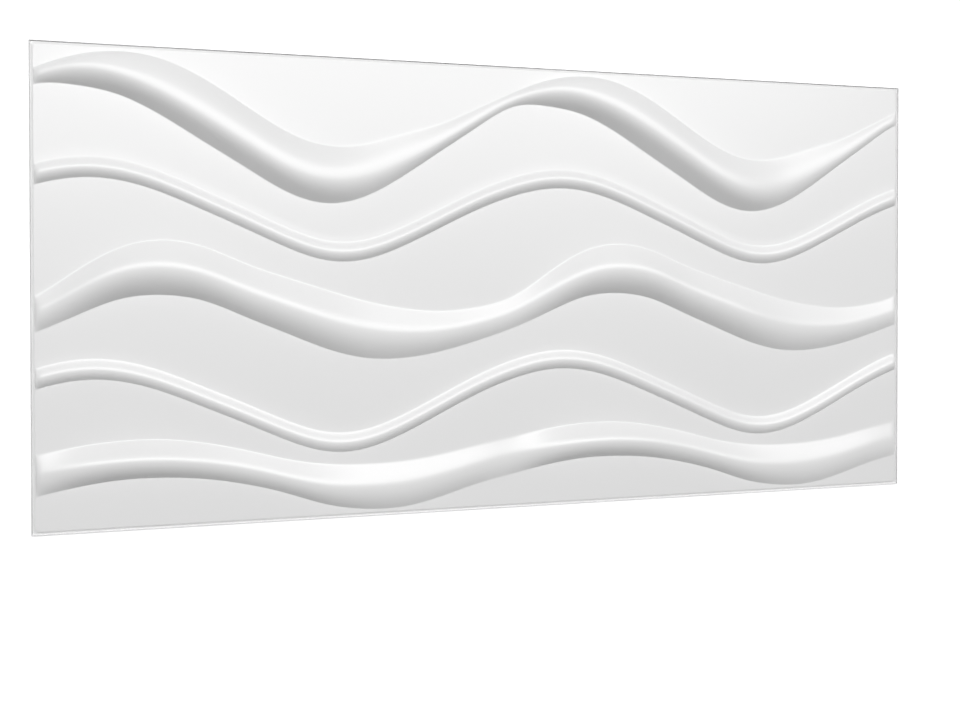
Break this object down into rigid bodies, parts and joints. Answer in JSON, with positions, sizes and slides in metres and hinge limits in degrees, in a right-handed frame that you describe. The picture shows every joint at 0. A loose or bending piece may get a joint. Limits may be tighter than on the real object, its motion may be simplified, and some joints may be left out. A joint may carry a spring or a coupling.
{
  "type": "moulded wave wall panel",
  "caption": "Thin white moulded wall panel with wide and narrow waved ridges along its length and a narrow rim with a low upturned lip.",
  "frame": {"origin": "centre of the back, in the plane of the rim's underside", "axes": "+X along the length with the waves, +Y across the width, +Z out of the waved face"},
  "size_m": [0.96, 0.48, 0.0185],
  "materials": {
    "moulded_sheet": "satin"
  },
  "bodies": {
    "root": {"wave_panel": "moulded_sheet"}
  },
  "joints": []
}
